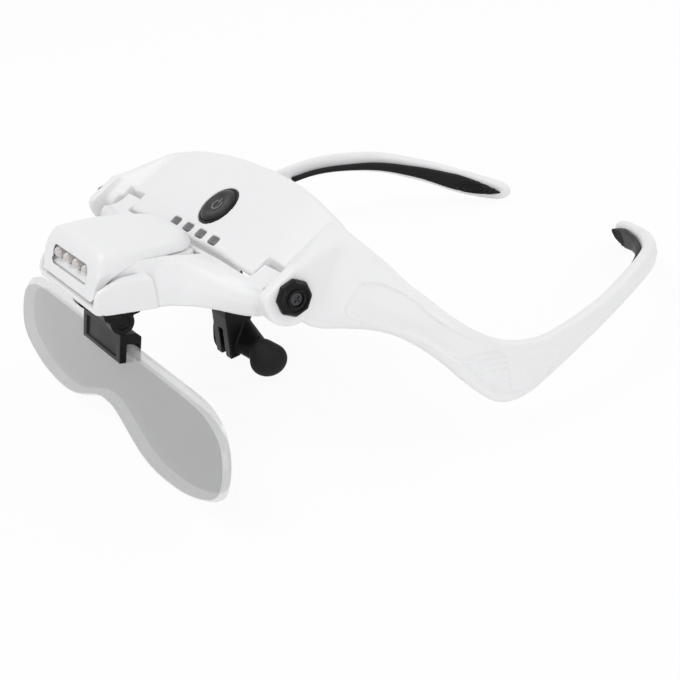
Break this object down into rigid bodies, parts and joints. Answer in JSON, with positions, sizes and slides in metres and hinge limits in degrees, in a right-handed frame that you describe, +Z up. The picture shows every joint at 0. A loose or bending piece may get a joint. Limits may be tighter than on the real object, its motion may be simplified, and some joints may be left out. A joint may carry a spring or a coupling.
{
  "type": "headband magnifier",
  "caption": "Head-worn magnifier: curved headband, flip-up visor with a tilting lamp, exchangeable two-lobed lens in a flip-up clip, nose pads and a power button.",
  "frame": {"origin": "centre of the footprint at table height, the part standing on its lens and its two arm tips", "axes": "+X to the wearer's left, +Y towards the back of the head, +Z up"},
  "size_m": [0.1688, 0.1711, 0.0554],
  "materials": {
    "white_plastic": "smooth moulded, soft gloss",
    "black_plastic": "satin moulded",
    "black_soft": "matt, soft to the touch",
    "button_black": "satin with a dished face",
    "steel": "plain",
    "board_green": "solder mask",
    "switch_dark": "moulded",
    "cell_foil": "foil pouch",
    "window_grey": "smoked, clear",
    "led_yellow": "phosphor",
    "washer_white": "slick",
    "reflector_silver": "metallised",
    "led_clear": "water clear epoxy",
    "lens_clear": "optically clear acrylic"
  },
  "bodies": {
    "headband": {"headband_frame": "white_plastic", "brow_rear_cover": "white_plastic", "cover_screws": "steel", "arm_pad_left": "black_soft", "arm_pad_right": "black_soft", "main_circuit_board": "board_green", "tact_switch": "switch_dark", "battery_cell": "cell_foil", "charge_socket": "steel", "indicator_windows": "window_grey", "indicator_leds": "led_yellow", "button_rim": "black_plastic", "pivot_pins": "steel", "pivot_cap_left": "black_plastic", "pivot_cap_right": "black_plastic", "cap_screws": "steel", "friction_washers": "washer_white", "nose_bracket": "black_plastic", "nose_screws": "steel", "nose_pad_left": "black_soft", "nose_pad_right": "black_soft"},
    "power_button": {"power_button": "button_black"},
    "visor": {"visor_shell": "white_plastic", "visor_base": "white_plastic", "visor_screws": "steel", "lens_mount": "black_plastic", "lens_mount_screws": "steel", "clip_hinge_pin": "steel"},
    "lamp": {"lamp_cover": "white_plastic", "lamp_base": "white_plastic", "lamp_reflector": "reflector_silver", "lamp_leds": "led_clear", "lamp_board": "board_green", "lamp_screw": "steel", "lamp_pins": "steel"},
    "lens_holder": {"lens_clip": "black_plastic"},
    "lens": {"lens": "lens_clear"}
  },
  "joints": [
    {"name": "visor_tilt", "type": "hinge", "parent": "headband", "child": "visor", "pos_m": [0, -0.0478, 0.0426], "axis": [-1, 0, 0], "range_deg": [0, 60]},
    {"name": "lamp_tilt", "type": "hinge", "parent": "visor", "child": "lamp", "pos_m": [0, -0.0548, 0.0438], "axis": [-1, 0, 0], "range_deg": [0, 15]},
    {"name": "lens_flip", "type": "hinge", "parent": "visor", "child": "lens_holder", "pos_m": [0, -0.0766, 0.03429], "axis": [-1, 0, 0], "range_deg": [0, 75]},
    {"name": "lens_release", "type": "slide", "parent": "lens_holder", "child": "lens", "axis": [0, -0.309, -0.9511], "range_m": [0, 0.006]},
    {"name": "power_button_press", "type": "slide", "parent": "headband", "child": "power_button", "axis": [0, 0.4067, -0.9135], "range_m": [0, 0.0005], "stiffness_N_per_m": 1500, "springref_m": -0.0004}
  ]
}
